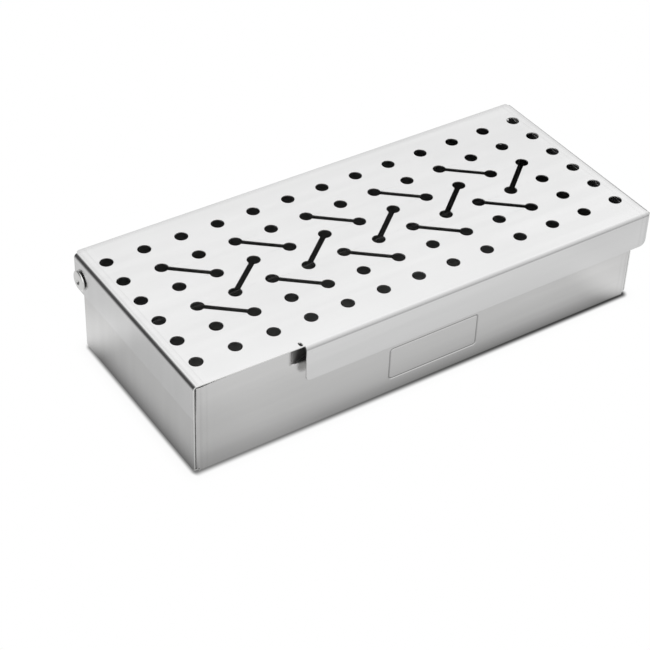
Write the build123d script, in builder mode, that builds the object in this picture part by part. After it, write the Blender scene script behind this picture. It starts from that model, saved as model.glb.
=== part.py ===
from build123d import *
import math
import os

# A smoker box for a grill, folded from stainless steel sheet: a tray for wood
# chips, and a perforated lid that swings on two blind rivets at the rear.
# Millimetres and degrees. X runs along the box, Y from the lip at the front to
# the hinge at the rear, Z up. The origin is on the floor, below the lid's middle.

# Sheet and folds
sheet = 0.8
bend_radius = 2.4
inner_radius = bend_radius - sheet
quarter_turn = 90
overrun = 6.0

# Clearances
hinge_gap = 0.3
rim_gap = 0.3
swing_gap = 0.7
seam_gap = 0.2
running_clearance = 0.05

# Vents in the lid: a grid of round holes, of which slots join some in pairs
vent_columns = 13
vent_rows = 6
vent_pitch_x = 24.0
vent_pitch_y = 20.0
vent_diameter = 8.0
vent_sides = 18
vent_slot_width = 2.8

# Lid
box_height = 63.0
left_margin = 12.0
right_margin = 11.0
front_margin = 21.0
rear_margin = 18.3
lid_corner_radius = 1.8
flange_height = 22.9
flange_rear_setback = 2.1
flange_rear_radius = 4.0
flange_front_radius = 1.2
lip_height = 23.5
lip_start = 68.0
lip_left_radius = 3.0
lip_right_radius = 4.0
relief_width = 1.6
relief_length = 3.5
relief_from_lip = 1.4
relief_inset = 0.5
corner_opening = 1.7
edge_slant = 1.1

# Tray
lip_gap = 3.9
rear_overhang = 9.5
right_gap = 5.6
wall_setback = 0.5
wall_corner_radius = 1.0
rim_fall = 3.0
rim_fall_length = 60.0
tab_length = 14.0
tab_lift = 0.6
notch_width = 7.0
notch_margin = 1.0
notch_radius = 2.0
ear_radius = 7.5

# Finger recess, pressed into the front wall behind the left end of the lip
recess_from_corner = 59.0
recess_width = 34.0
recess_fall = 12.2
recess_depth = 5.6
recess_radius = 4.0
recess_slope = 28

# Hinge rivets, washers and spacer
pivot_from_rear = 9.3
pivot_from_top = 14.0
shank_radius = 2.4
head_radius = 6.3
head_height = 1.9
head_rim = 0.5
head_crown_drop = 0.4
dimple_radius = 2.1
dimple_depth = 1.0
shop_head_radius = 3.8
shop_head_length = 2.6
shop_head_chamfer = 0.7
washer_radius = 5.2
washer_thickness = 0.8
spacer_radius = 4.2

# Places in the lid
lid_length = (vent_columns - 1) * vent_pitch_x + left_margin + right_margin
lid_depth = (vent_rows - 1) * vent_pitch_y + front_margin + rear_margin
grid_x = (left_margin - right_margin) / 2
grid_y = (front_margin - rear_margin) / 2
lid_right = lid_length / 2
lid_left = -lid_right
lid_rear = lid_depth / 2
lip_face = -lid_rear
lid_edge = lip_face + bend_radius
lid_underside = box_height - sheet
lid_fold_height = box_height - bend_radius
flange_rear = lid_rear - flange_rear_setback
lip_left = lid_left + lip_start
lip_right = lid_right - corner_opening

# Places in the tray
tray_left = lid_left + sheet + hinge_gap
tray_right = lid_right - sheet - right_gap
tray_front = lip_face + sheet + lip_gap
tray_rear = lid_rear - rear_overhang
tray_length = tray_right - tray_left
tray_depth = tray_rear - tray_front
tray_x = (tray_left + tray_right) / 2
tray_y = (tray_front + tray_rear) / 2
tab_inset = sheet + seam_gap
tab_bottom = bend_radius + tab_lift
wall_length = tray_length - 2 * (tab_inset + bend_radius)
front_rim = lid_underside - rim_gap
corner_rim = front_rim - rim_fall
rear_rim = lid_underside - swing_gap
end_rim = lid_fold_height - rim_gap
recess_x = tray_left + recess_from_corner + recess_width / 2
recess_bottom = front_rim - recess_fall

# Places at the hinge
pivot_y = lid_rear - pivot_from_rear
pivot_z = box_height - pivot_from_top
pivot_hole = shank_radius + running_clearance
notch_bottom = pivot_z - ear_radius - notch_margin
left_washer_face = tray_left + sheet
right_washer_face = tray_right - sheet
left_grip = hinge_gap + sheet + hinge_gap + sheet + washer_thickness
right_grip = hinge_gap + sheet + right_gap + sheet + washer_thickness


def fold(plane, center, start_angle, length):
    """Quarter ring of sheet about center, carried along the plane's normal."""
    with BuildSketch(plane) as ring:
        with BuildLine():
            outside = CenterArc(center, bend_radius, start_angle, quarter_turn)
            inside = CenterArc(center, inner_radius, start_angle, quarter_turn)
            Line(outside @ 0, inside @ 0)
            Line(outside @ 1, inside @ 1)
        make_face()
    extrude(ring.sketch, amount=length)


def channel(plane, web, width, height, length, opens):
    """Sheet with a fold at each side: web is its outer middle, opens is 1 for up and -1 for down."""
    seat = (Align.CENTER, Align.MIN if opens > 0 else Align.MAX)
    outline_height = 2 * (height + bend_radius)
    with BuildSketch(plane) as section:
        with Locations(web):
            RectangleRounded(width, outline_height, bend_radius, align=seat)
        with Locations((web[0], web[1] + opens * sheet)):
            RectangleRounded(width - 2 * sheet, outline_height, inner_radius, align=seat, mode=Mode.SUBTRACT)
        with Locations((web[0], web[1] + opens * height)):
            Rectangle(width, outline_height, align=seat, mode=Mode.SUBTRACT)
    extrude(section.sketch, amount=length)


def rivet(seat, side, grip):
    """Blind rivet turned about the pivot: a dimpled dome outside seat, a barrel inside the grip."""
    barrel_end = -grip - shop_head_length
    with BuildSketch(Plane((seat, pivot_y, pivot_z), x_dir=(side, 0, 0), z_dir=(0, 0, side))) as section:
        with BuildLine():
            Polyline(
                (head_height - dimple_depth, 0),
                (barrel_end, 0),
                (barrel_end, shop_head_radius - shop_head_chamfer),
                (barrel_end + shop_head_chamfer, shop_head_radius),
                (-grip, shop_head_radius),
                (-grip, shank_radius),
                (0, shank_radius),
                (0, head_radius),
                (head_rim, head_radius),
                (head_height - head_crown_drop, (head_radius + dimple_radius) / 2),
                (head_height, dimple_radius),
                (head_height - dimple_depth, dimple_radius / 2),
                close=True,
            )
        make_face()
    revolve(section.sketch, axis=Axis((seat, pivot_y, pivot_z), (1, 0, 0)))


def ring(face, radius, length):
    """Round tube about the pivot, from face towards +X, bored for the rivet's shank."""
    with BuildSketch(Plane.YZ.offset(face)) as section:
        with Locations((pivot_y, pivot_z)):
            Circle(radius)
            Circle(pivot_hole, mode=Mode.SUBTRACT)
    extrude(section.sketch, amount=length)


def vent(column, row):
    """Centre of a vent, counted from the front left corner of the grid."""
    return (
        grid_x + (column - (vent_columns - 1) / 2) * vent_pitch_x,
        grid_y + (row - (vent_rows - 1) / 2) * vent_pitch_y,
    )


# Slots lie in three bands, midway between rows of vents, and slant the other way in the middle one
slot_length = math.hypot(vent_pitch_x, vent_pitch_y)
slot_slant = math.degrees(math.atan2(vent_pitch_y, vent_pitch_x))
slot_columns = range(1, vent_columns - 3, 2)
falling_slots = [vent(column + 1 / 2, row + 1 / 2) for row in (1, 3) for column in slot_columns]
rising_slots = [vent(column + 3 / 2, 2 + 1 / 2) for column in slot_columns]

with BuildPart() as lid:
    # Top sheet with a flange folded down at each end
    channel(
        Plane.XZ.offset(-flange_rear),
        (0, box_height),
        lid_length,
        flange_height,
        flange_rear - lid_edge,
        -1,
    )
    # The raw front edge beside the lip runs back a little towards the left end
    with BuildSketch(Plane.XY):
        with BuildLine():
            Polyline(
                (lid_left, lid_edge),
                (lip_left - relief_from_lip, lid_edge),
                (lid_left, lid_edge + edge_slant),
                close=True,
            )
        make_face()
    extrude(amount=box_height, mode=Mode.SUBTRACT)
    # Rounded lower corners on the flanges
    flange_ends = lid.edges().group_by(Axis.Z)[0].filter_by(lambda edge: edge.length < bend_radius)
    fillet(flange_ends.sort_by(Axis.Y)[2:], flange_rear_radius)
    flange_ends = lid.edges().group_by(Axis.Z)[0].filter_by(lambda edge: edge.length < bend_radius)
    fillet(flange_ends.sort_by(Axis.Y)[:2], flange_front_radius)
    # The top sheet's raw rear edge stands out past the flanges
    with BuildSketch(Plane.XY.offset(lid_underside)) as rear_strip:
        with Locations((0, lid_rear)):
            Rectangle(
                lid_length - 2 * bend_radius,
                flange_rear_setback + bend_radius,
                align=(Align.CENTER, Align.MAX),
            )
        fillet(rear_strip.vertices().group_by(Axis.Y)[-1], lid_corner_radius)
    extrude(amount=sheet)
    # Front lip, from the relief slot to the right end
    fold(
        Plane.YZ.offset(lip_left),
        (lid_edge, lid_fold_height),
        quarter_turn,
        lip_right - lip_left,
    )
    with BuildSketch(Plane.XZ.offset(-lip_face)) as lip:
        with Locations((lip_left, lid_fold_height)):
            Rectangle(lip_right - lip_left, lip_height - bend_radius, align=(Align.MIN, Align.MAX))
        fillet(lip.vertices().group_by(Axis.Y)[0].sort_by(Axis.X)[0], lip_left_radius)
        fillet(lip.vertices().group_by(Axis.Y)[0].sort_by(Axis.X)[-1], lip_right_radius)
    extrude(amount=-sheet)
    # Rivet holes in the flanges
    with BuildSketch(Plane.YZ):
        with Locations((pivot_y, pivot_z)):
            Circle(pivot_hole)
    extrude(amount=lid_right + overrun, both=True, mode=Mode.SUBTRACT)
    # Vents and the relief slot beside the lip; round vents are drawn with short sides for a light mesh
    with BuildSketch(Plane.XY.offset(box_height)):
        with Locations((grid_x, grid_y)):
            with GridLocations(vent_pitch_x, vent_pitch_y, vent_columns, vent_rows):
                RegularPolygon(vent_diameter / 2, vent_sides)
        for slots, slant in ((falling_slots, -slot_slant), (rising_slots, slot_slant)):
            with Locations(*slots):
                SlotCenterToCenter(slot_length, vent_slot_width, rotation=slant)
        with Locations((lip_left - relief_from_lip, lid_edge + relief_inset + relief_length / 2)):
            SlotOverall(relief_length, relief_width, rotation=quarter_turn)
    extrude(amount=-sheet, mode=Mode.SUBTRACT)
lid.part.label = "lid"

with BuildPart() as tray:
    # Floor, with the folds of the front and rear walls, then those of the end walls
    channel(
        Plane.YZ.offset(tray_x - wall_length / 2),
        (tray_y, 0),
        tray_depth,
        bend_radius,
        wall_length,
        1,
    )
    channel(
        Plane.XZ.offset(bend_radius - tray_rear),
        (tray_x, 0),
        tray_length,
        bend_radius,
        tray_depth - 2 * bend_radius,
        1,
    )
    # Front wall, its rim falling a little towards both corners
    with BuildSketch(Plane.XZ.offset(-tray_front)):
        with BuildLine():
            Polyline(
                (tray_x - wall_length / 2, bend_radius),
                (tray_x + wall_length / 2, bend_radius),
                (tray_x + wall_length / 2, corner_rim),
                (tray_x + wall_length / 2 - rim_fall_length, front_rim),
                (tray_x - wall_length / 2 + rim_fall_length, front_rim),
                (tray_x - wall_length / 2, corner_rim),
                close=True,
            )
        make_face()
    extrude(amount=-sheet)
    # Rear wall, notched at both ends to clear the rivets
    with BuildSketch(Plane.XZ.offset(-tray_rear)) as rear_wall:
        with Locations((tray_x, bend_radius)):
            Rectangle(wall_length, notch_bottom - bend_radius, align=(Align.CENTER, Align.MIN))
            Rectangle(
                tray_length - 2 * notch_width,
                rear_rim - bend_radius,
                align=(Align.CENTER, Align.MIN),
            )
        fillet(rear_wall.vertices().group_by(Axis.Y)[1].sort_by(Axis.X)[1:-1], notch_radius)
        fillet(rear_wall.vertices().group_by(Axis.Y)[-1], wall_corner_radius)
    extrude(amount=sheet)
    # End walls, each with an ear that reaches back behind the rear wall to the pivot
    for wall_face in (tray_left, tray_right - sheet):
        with BuildSketch(Plane.YZ.offset(wall_face)) as end_wall:
            with Locations((tray_y, bend_radius)):
                Rectangle(
                    tray_depth - 2 * wall_setback,
                    end_rim - bend_radius,
                    align=(Align.CENTER, Align.MIN),
                )
            fillet(end_wall.vertices(), wall_corner_radius)
            with Locations((pivot_y, pivot_z)):
                Circle(ear_radius)
                Rectangle(2 * ear_radius, 2 * ear_radius, align=(Align.MAX, Align.CENTER))
                Circle(pivot_hole, mode=Mode.SUBTRACT)
        extrude(amount=sheet)
    # The front and rear walls turn the corners and end in tabs inside the end walls
    for side, end_face in ((-1, tray_left), (1, tray_right)):
        fold_x = end_face - side * (tab_inset + bend_radius)
        tab_x = end_face - side * (tab_inset + sheet / 2)
        for end, top in ((-1, corner_rim), (1, notch_bottom)):
            fold_y = tray_y + end * (tray_depth / 2 - bend_radius)
            fold(
                Plane.XY.offset(tab_bottom),
                (fold_x, fold_y),
                math.degrees(math.atan2(end, side)) - quarter_turn / 2,
                top - tab_bottom,
            )
            with BuildSketch(Plane.XY.offset(tab_bottom)):
                with Locations((tab_x, fold_y)):
                    Rectangle(sheet, tab_length, align=(Align.CENTER, Align.MAX if end > 0 else Align.MIN))
            extrude(amount=top - tab_bottom)
    # Finger recess: the pressed metal, the pocket in front of it, and the open rim above
    press = sheet / math.cos(math.radians(recess_slope))
    for grown, depth, mode in ((press, recess_depth + sheet, Mode.ADD), (0, recess_depth, Mode.SUBTRACT)):
        with BuildSketch(Plane.back.offset(tray_front)) as pocket:
            with Locations((-recess_x, recess_bottom - grown)):
                Rectangle(
                    recess_width + 2 * grown,
                    recess_fall + grown + overrun,
                    align=(Align.CENTER, Align.MIN),
                )
            fillet(pocket.vertices().group_by(Axis.Y)[0], recess_radius + grown)
        extrude(amount=depth, taper=recess_slope, mode=mode)
    with BuildSketch(Plane.XY.offset(front_rim)):
        with Locations((recess_x, tray_front)):
            Rectangle(
                recess_width + 2 * press,
                recess_depth + 2 * sheet,
                align=(Align.CENTER, Align.MIN),
            )
    extrude(amount=overrun, mode=Mode.SUBTRACT)
tray.part.label = "tray"

with BuildPart() as left_hinge_rivet:
    rivet(lid_left - hinge_gap, -1, left_grip)
left_hinge_rivet.part.label = "left_hinge_rivet"

with BuildPart() as right_hinge_rivet:
    rivet(lid_right + hinge_gap, 1, right_grip)
right_hinge_rivet.part.label = "right_hinge_rivet"

with BuildPart() as left_hinge_washer:
    ring(left_washer_face, washer_radius, washer_thickness)
left_hinge_washer.part.label = "left_hinge_washer"

with BuildPart() as right_hinge_washer:
    ring(right_washer_face - washer_thickness, washer_radius, washer_thickness)
right_hinge_washer.part.label = "right_hinge_washer"

with BuildPart() as right_hinge_spacer:
    ring(tray_right, spacer_radius, right_gap - hinge_gap)
right_hinge_spacer.part.label = "right_hinge_spacer"

os.makedirs("parts", exist_ok=True)
export_step(lid.part, "parts/lid.step")
export_step(tray.part, "parts/tray.step")
export_step(left_hinge_rivet.part, "parts/left_hinge_rivet.step")
export_step(right_hinge_rivet.part, "parts/right_hinge_rivet.step")
export_step(left_hinge_washer.part, "parts/left_hinge_washer.step")
export_step(right_hinge_washer.part, "parts/right_hinge_washer.step")
export_step(right_hinge_spacer.part, "parts/right_hinge_spacer.step")
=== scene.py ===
import bpy
import math
import numpy as np
from mathutils import Matrix, Vector
from mathutils.geometry import delaunay_2d_cdt


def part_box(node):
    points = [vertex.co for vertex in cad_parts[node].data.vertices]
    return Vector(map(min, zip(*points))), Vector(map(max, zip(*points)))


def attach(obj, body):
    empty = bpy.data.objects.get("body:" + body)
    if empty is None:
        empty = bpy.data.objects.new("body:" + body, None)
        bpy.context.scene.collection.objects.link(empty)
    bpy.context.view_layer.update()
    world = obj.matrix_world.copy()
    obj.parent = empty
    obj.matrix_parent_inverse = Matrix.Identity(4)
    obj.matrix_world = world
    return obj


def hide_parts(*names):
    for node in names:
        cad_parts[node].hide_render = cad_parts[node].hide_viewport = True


# The looks of a smoker box for a grill: a tray folded from brushed steel sheet,
# and a perforated lid that swings on two rivets at the rear. Metres, in the
# part's frame: X along the box, Y from the lip to the hinge, Z up.
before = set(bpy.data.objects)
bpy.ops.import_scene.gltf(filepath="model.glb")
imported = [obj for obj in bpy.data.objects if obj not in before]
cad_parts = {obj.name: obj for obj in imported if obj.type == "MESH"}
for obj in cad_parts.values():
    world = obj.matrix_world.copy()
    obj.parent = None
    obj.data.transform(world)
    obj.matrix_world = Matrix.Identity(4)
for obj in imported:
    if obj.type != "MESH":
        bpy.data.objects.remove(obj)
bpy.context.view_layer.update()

MM = 0.001
QUARTER = math.pi / 2
X_AXIS = np.array((1.0, 0.0, 0.0))

# Photograph: its width, and the camera that was solved from the vent grid
PHOTO_PIXELS = 650
FOCAL_PIXELS = 1858.4
PRINCIPAL_PIXEL = (361.2, 267.1)
CAMERA_PLACE = (-0.51067, -0.69921, 0.69937)
CAMERA_AZIMUTH = 35.896
CAMERA_FALL = 37.425
CAMERA_ROLL = 3.1
SENSOR_MM = 36.0

# Sheet, folds, broken edges and round holes
SHEET = 0.8 * MM
BEND = 2.4 * MM
BEND_STEPS = 10
ARC = BEND * QUARTER
EDGE_BREAK = 0.12 * MM
TOLERANCE = 0.001 * MM
HOLE_SIDES = 48

# Places of a sheet piece's finishes among its materials. The inside finish is a darker copy of
# the steel, painted shade, and the one behind the lip a brighter copy, painted light
SKIN, CUT, INSIDE, BEHIND_LIP = range(4)

# Lid
lid_low, lid_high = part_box("lid")
LID_FOLD_X = lid_high.x - BEND
LID_EDGE = lid_low.y + BEND
FLANGE_HEIGHT = 22.9 * MM
FLANGE_REAR = lid_high.y - 2.1 * MM
FLANGE_REAR_RADIUS = 4.0 * MM
FLANGE_FRONT_RADIUS = 1.2 * MM
LID_CORNER_RADIUS = 1.8 * MM
LIP_LEFT = lid_low.x + 68.0 * MM
LIP_RIGHT = lid_high.x - 1.7 * MM
LIP_LEFT_RADIUS = 3.0 * MM
LIP_RIGHT_RADIUS = 4.0 * MM
EDGE_SLANT = 1.1 * MM
RELIEF_WIDTH = 2.0 * MM
RELIEF_LENGTH = 3.5 * MM
RELIEF_X = LIP_LEFT - 1.4 * MM
RELIEF_INSET = 0.5 * MM

# Vents: a grid of round holes, and thin slots that join some of them
GRID_CENTER = np.array((0.5 * MM, 1.35 * MM))
VENT_COLUMNS = 13
VENT_ROWS = 6
VENT_PITCH = (24.0 * MM, 20.0 * MM)
VENT_RADIUS = 4.0 * MM
SLOT_WIDTH = 3.35 * MM

# Tray
tray_low, tray_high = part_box("tray")
TRAY_FRONT = tray_low.y
TRAY_REAR = lid_high.y - 9.5 * MM
TRAY_X = (tray_low.x + tray_high.x) / 2
TRAY_Y = (TRAY_FRONT + TRAY_REAR) / 2
HALF_LENGTH = (tray_high.x - tray_low.x) / 2
HALF_DEPTH = (TRAY_REAR - TRAY_FRONT) / 2
FLOOR_X = HALF_LENGTH - BEND
FLOOR_Y = HALF_DEPTH - BEND
SEAM_GAP = 0.2 * MM
WALL_X = HALF_LENGTH - SHEET - SEAM_GAP - BEND
WALL_SETBACK = 0.5 * MM
FAR_SETBACK = 1.3 * MM
WALL_CORNER_RADIUS = 1.0 * MM
TAB_LENGTH = 14.0 * MM
TAB_BOTTOM = BEND + 0.6 * MM
FRONT_RIM = tray_high.z
RIM_FALL = 1.8 * MM
RIM_FALL_LENGTH = 60.0 * MM
REAR_RIM = lid_high.z - SHEET - 0.7 * MM
END_RIM = lid_high.z - BEND - 0.3 * MM
NOTCH_WIDTH = 7.0 * MM
NOTCH_MARGIN = 1.0 * MM
NOTCH_RADIUS = 2.0 * MM
EAR_RADIUS = 7.5 * MM

# Finger recess, and the bare frame that is pressed into the front wall
RECESS_LEFT = tray_low.x + 57.2 * MM
RECESS_WIDTH = 35.8 * MM
RECESS_FALL = 12.2 * MM
RECESS_DEPTH = 5.0 * MM
RECESS_RAMP = 17.0 * MM
RECESS_LEDGE = 1.2 * MM
RECESS_SPACING = 0.4 * MM
FRAME_LEFT = -28.1 * MM
FRAME_RIGHT = 32.9 * MM
FRAME_BOTTOM = 11.0 * MM
FRAME_TOP = 32.6 * MM
FRAME_RADIUS = 1.8 * MM
GROOVE_DEPTH = 0.32 * MM
GROOVE_HALF_WIDTH = 0.85 * MM
GROOVE_OFFSET_SHARES = (-1.0, -0.72, -0.45, -0.22, 0.0, 0.22, 0.45, 0.72, 1.0)

# Hinge: its pivot, the heights of its rivets' two heads, and its small parts' broken edges
rivet_low, rivet_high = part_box("left_hinge_rivet")
PIVOT_Y = (rivet_low.y + rivet_high.y) / 2
PIVOT_Z = (rivet_low.z + rivet_high.z) / 2
PIVOT_HOLE = 2.45 * MM
HEAD_HEIGHT = 1.9 * MM
SHOP_LENGTH = 2.6 * MM
NICK = 0.05 * MM

# Painted shade, where 1 is the full painted shade of a fold. The lip's is fainter and peaks past its
# middle
LIP_FOLD_SHADE = 0.75
LIP_LEAN = 1.5
END_SPREAD = 0.7
GROOVE_SHADE = 1.4
RECESS_SHADE = 1.8
RECESS_SHADE_START = 1.2 * MM
RECESS_SHADE_FADE = 2.5 * MM
# Painted shade on inner skins at the end folds and near the hinge: its darkness, reach, and inset from a
# rivet's seat
INNER_SHADE = 2.9
INNER_SHADE_REACH = 9.0 * MM
INNER_SHADE_INSET = 2.0 * MM


# Flat shapes


def rounded(corners, steps=8):
    """Closed outline through (u, v, radius) corners: each radius becomes an arc tangent to both sides,
    centred on the corner's bisector at radius / sin(half the angle)."""
    points = []
    places = np.array([corner[:2] for corner in corners], float)
    for i, corner in enumerate(places):
        radius = corners[i][2]
        if radius <= 0:
            points.append(corner)
            continue
        back = places[i - 1] - corner
        ahead = places[(i + 1) % len(corners)] - corner
        back /= np.linalg.norm(back)
        ahead /= np.linalg.norm(ahead)
        half = math.acos(np.clip(back @ ahead, -1, 1)) / 2
        bisector = (back + ahead) / np.linalg.norm(back + ahead)
        center = corner + bisector * radius / math.sin(half)
        start = corner + back * radius / math.tan(half) - center
        end = corner + ahead * radius / math.tan(half) - center
        sweep = math.pi - 2 * half
        t = np.linspace(0, 1, steps + 1)[:, None]
        arc = (np.sin((1 - t) * sweep) * start + np.sin(t * sweep) * end) / math.sin(sweep)
        points.extend(center + arc)
    return np.array(points)


def rounded_box(u0, u1, v0, v1, radius):
    """Closed outline of a rectangle with rounded corners."""
    return rounded(((u0, v0, radius), (u1, v0, radius), (u1, v1, radius), (u0, v1, radius)))


def circle(center, radius):
    """Closed outline of a round hole: center + radius (cos a, sin a)."""
    angle = np.linspace(0, 2 * math.pi, HOLE_SIDES, endpoint=False)
    return center + radius * np.column_stack((np.cos(angle), np.sin(angle)))


def off_holes(points, holes):
    """True for points outside every round hole, each a centre and a radius."""
    apothem = math.cos(math.pi / HOLE_SIDES)
    clear = np.ones(len(points), bool)
    for center, radius in holes:
        clear &= np.linalg.norm(points - center, axis=1) > radius * apothem
    return clear


def inside(outline, points):
    """True for points inside a closed outline, by counting the sides that a ray towards +u crosses."""
    following = np.roll(outline, -1, axis=0)
    hits = np.zeros(len(points), int)
    for (u0, v0), (u1, v1) in zip(outline, following):
        spans = (points[:, 1] >= v0) != (points[:, 1] >= v1)
        rise = v1 - v0 if v1 != v0 else 1.0
        hits += spans & (points[:, 0] < u0 + (points[:, 1] - v0) * (u1 - u0) / rise)
    return hits % 2 == 1


def triangulate(loops, lines, points, keep):
    """Points and triangles of a flat blank: a constrained Delaunay net of its loops, lines and
    free points, of which the triangles whose centres keep() accepts remain."""
    places, edges = [], []
    for path, closed in [(loop, True) for loop in loops] + [(line, False) for line in lines]:
        first = len(places)
        count = len(path)
        places.extend(path)
        edges.extend((first + i, first + (i + 1) % count) for i in range(count if closed else count - 1))
    places.extend(points)
    scaled = [Vector((float(u) / MM, float(v) / MM)) for u, v in places]
    net, _, faces, _, _, _ = delaunay_2d_cdt(scaled, edges, [], 0, TOLERANCE / MM)
    net = np.array([tuple(p) for p in net]) * MM
    faces = np.array([face for face in faces if len(face) == 3])
    faces = faces[keep(net[faces].mean(axis=1))]
    used, faces = np.unique(faces, return_inverse=True)
    net, faces = net[used], faces.reshape(-1, 3)
    a, b, c = (net[faces[:, i]] for i in range(3))
    turn = (b - a)[:, 0] * (c - a)[:, 1] - (b - a)[:, 1] * (c - a)[:, 0]
    faces[turn < 0] = faces[turn < 0][:, ::-1]
    return net, faces


# Folded sheet


def quarter_turn(past):
    """Way round a quarter bend of the sheet's outside, past its start by an arc length: how far it
    runs on, how far it falls, and the angle turned."""
    angle = np.clip(past / BEND, 0, QUARTER)
    onward = np.where(past < 0, past, BEND * np.sin(angle))
    fall = BEND * (1 - np.cos(angle)) + np.maximum(past - ARC, 0)
    return onward, fall, angle


def unit(vectors):
    """Each row divided by its length, or left at zero."""
    shortest = 1e-12
    return vectors / np.maximum(np.linalg.norm(vectors, axis=1, keepdims=True), shortest)


def normal_of(surface, uv):
    """Unit normals of a surface: the cross product of its two slopes, taken over a tiny step."""
    step = 0.002 * MM
    along_u = surface(uv + (step, 0)) - surface(uv - (step, 0))
    along_v = surface(uv + (0, step)) - surface(uv - (0, step))
    return unit(np.cross(along_u, along_v))


def mesh_piece(name, vertices, faces, normals, attributes, materials, finishes=None):
    """A mesh object at the origin, smooth, with the given normals and point attributes. Finishes
    give each face's material by its place, and without them all faces have the first."""
    mesh = bpy.data.meshes.new(name)
    mesh.from_pydata(vertices.tolist(), [], faces)
    mesh.polygons.foreach_set("use_smooth", np.ones(len(faces), bool))
    if finishes is not None:
        mesh.polygons.foreach_set("material_index", finishes.astype(np.int32))
    for key, values in attributes.items():
        kind, field = ("FLOAT_VECTOR", "vector") if values.ndim == 2 else ("FLOAT", "value")
        layer = mesh.attributes.new(key, kind, "POINT")
        layer.data.foreach_set(field, values.astype(np.float32).ravel())
    for material in materials:
        mesh.materials.append(material)
    mesh.update()
    mesh.normals_split_custom_set_from_vertices(normals.tolist())
    piece = bpy.data.objects.new(name, mesh)
    bpy.context.scene.collection.objects.link(piece)
    return piece


def sheet_piece(name, net, faces, surface, painted_shade_mask, inner_finish, shaded_rim, materials):
    """A folded blank: its outer skin surface(u, v), an inner skin one sheet behind it along the
    normal, and edges that are a flat cut face between two small rounds. The inner skin has the
    finish inner_finish(u, v), and the edges take the darker inside finish, a painted shade, where
    the given rim test is true."""
    directed = np.concatenate((faces[:, (0, 1)], faces[:, (1, 2)], faces[:, (2, 0)]))
    known = set(map(tuple, directed))
    rim = np.array([edge for edge in known if edge[::-1] not in known])
    rim = rim[np.lexsort((rim[:, 1], rim[:, 0]))]
    run = unit(net[rim[:, 1]] - net[rim[:, 0]])
    side = np.column_stack((run[:, 1], -run[:, 0]))
    outward = np.zeros_like(net)
    np.add.at(outward, rim[:, 0], side)
    np.add.at(outward, rim[:, 1], side)
    outward = unit(outward)

    # Rows of the edge between the two skins: how far in from the cut, how deep, and which way it
    # faces. Then the finish of each strip from skin to skin
    soft = EDGE_BREAK * (1 - math.sqrt(0.5))
    profile = (
        (soft, soft, QUARTER / 2),
        (0, EDGE_BREAK, QUARTER),
        (0, SHEET - EDGE_BREAK, QUARTER),
        (soft, SHEET - soft, 3 * QUARTER / 2),
    )
    strip_finishes = (SKIN, SKIN, CUT, INSIDE, INSIDE)
    rim_points = np.unique(rim)
    slot_of = np.full(len(net), -1)
    slot_of[rim_points] = np.arange(len(rim_points))
    skin = net - outward * EDGE_BREAK
    skin_normal = normal_of(surface, skin)
    outer = surface(skin)
    inner = outer - skin_normal * SHEET
    vertices, normals = [outer, inner], [skin_normal, -skin_normal]
    blanks = [np.column_stack((skin, np.full(len(skin), depth))) for depth in (0, SHEET)]
    worn_and_highlit = [np.zeros(len(skin))] * 2
    rows = [rim_points]
    start = 2 * len(net)
    nudge = 0.01 * MM
    # Rims that take the darker inside finish and no brightening: painted shade
    shaded_rims = shaded_rim(net)
    for inset, depth, facing in profile:
        at = net[rim_points] - outward[rim_points] * inset
        up = normal_of(surface, at)
        out = unit(surface(at + outward[rim_points] * nudge) - surface(at))
        vertices.append(surface(at) - up * depth)
        normals.append(unit(up * math.cos(facing) + out * math.sin(facing)))
        blanks.append(np.column_stack((at, np.full(len(at), depth))))
        # Edge rows are brightened, as burnishing and a painted highlight, except on shaded rims
        worn_and_highlit.append(np.where(shaded_rims[rim_points], 0.0, 1.0))
        rows.append(np.arange(start, start + len(at)))
        start += len(at)
    rows.append(rim_points + len(net))
    quads, cut = [], []
    a, b = slot_of[rim[:, 0]], slot_of[rim[:, 1]]
    for row, next_row, finish in zip(rows, rows[1:], strip_finishes):
        quads.append(np.column_stack((row[a], next_row[a], next_row[b], row[b])))
        cut.append(np.where(shaded_rims[rim[:, 0]], INSIDE, finish))
    all_faces = faces.tolist() + (faces[:, ::-1] + len(net)).tolist() + np.concatenate(quads).tolist()
    outer_finish = np.full(len(faces), SKIN)
    finishes = np.concatenate([outer_finish, inner_finish(net[faces].mean(axis=1))] + cut)
    vertices, normals, blanks, worn_and_highlit = map(np.concatenate, (vertices, normals, blanks, worn_and_highlit))
    # The bend attribute is painted shade: at the folds, in the frame's groove, in the finger recess and
    # on inner skins
    attributes = {"blank": blanks, "worn_and_highlit": worn_and_highlit, "bend": painted_shade_mask(blanks)}
    return mesh_piece(name, vertices, all_faces, normals, attributes, materials, finishes)


# Lid


def lid_surface(uv):
    """Outer skin of the lid over its flat blank: u turns down at both ends, v turns down at the lip."""
    u, v = uv[:, 0], uv[:, 1]
    on_lip = v < LID_EDGE - TOLERANCE
    past_end = np.where(on_lip, -BEND, np.abs(u) - LID_FOLD_X)
    end_on, end_fall, _ = quarter_turn(past_end)
    lip_on, lip_fall, _ = quarter_turn(LID_EDGE - v)
    x = np.where(on_lip, u, np.sign(u) * (LID_FOLD_X + end_on))
    y = LID_EDGE - lip_on
    return np.column_stack((x, y, lid_high.z - end_fall - lip_fall))


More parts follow.
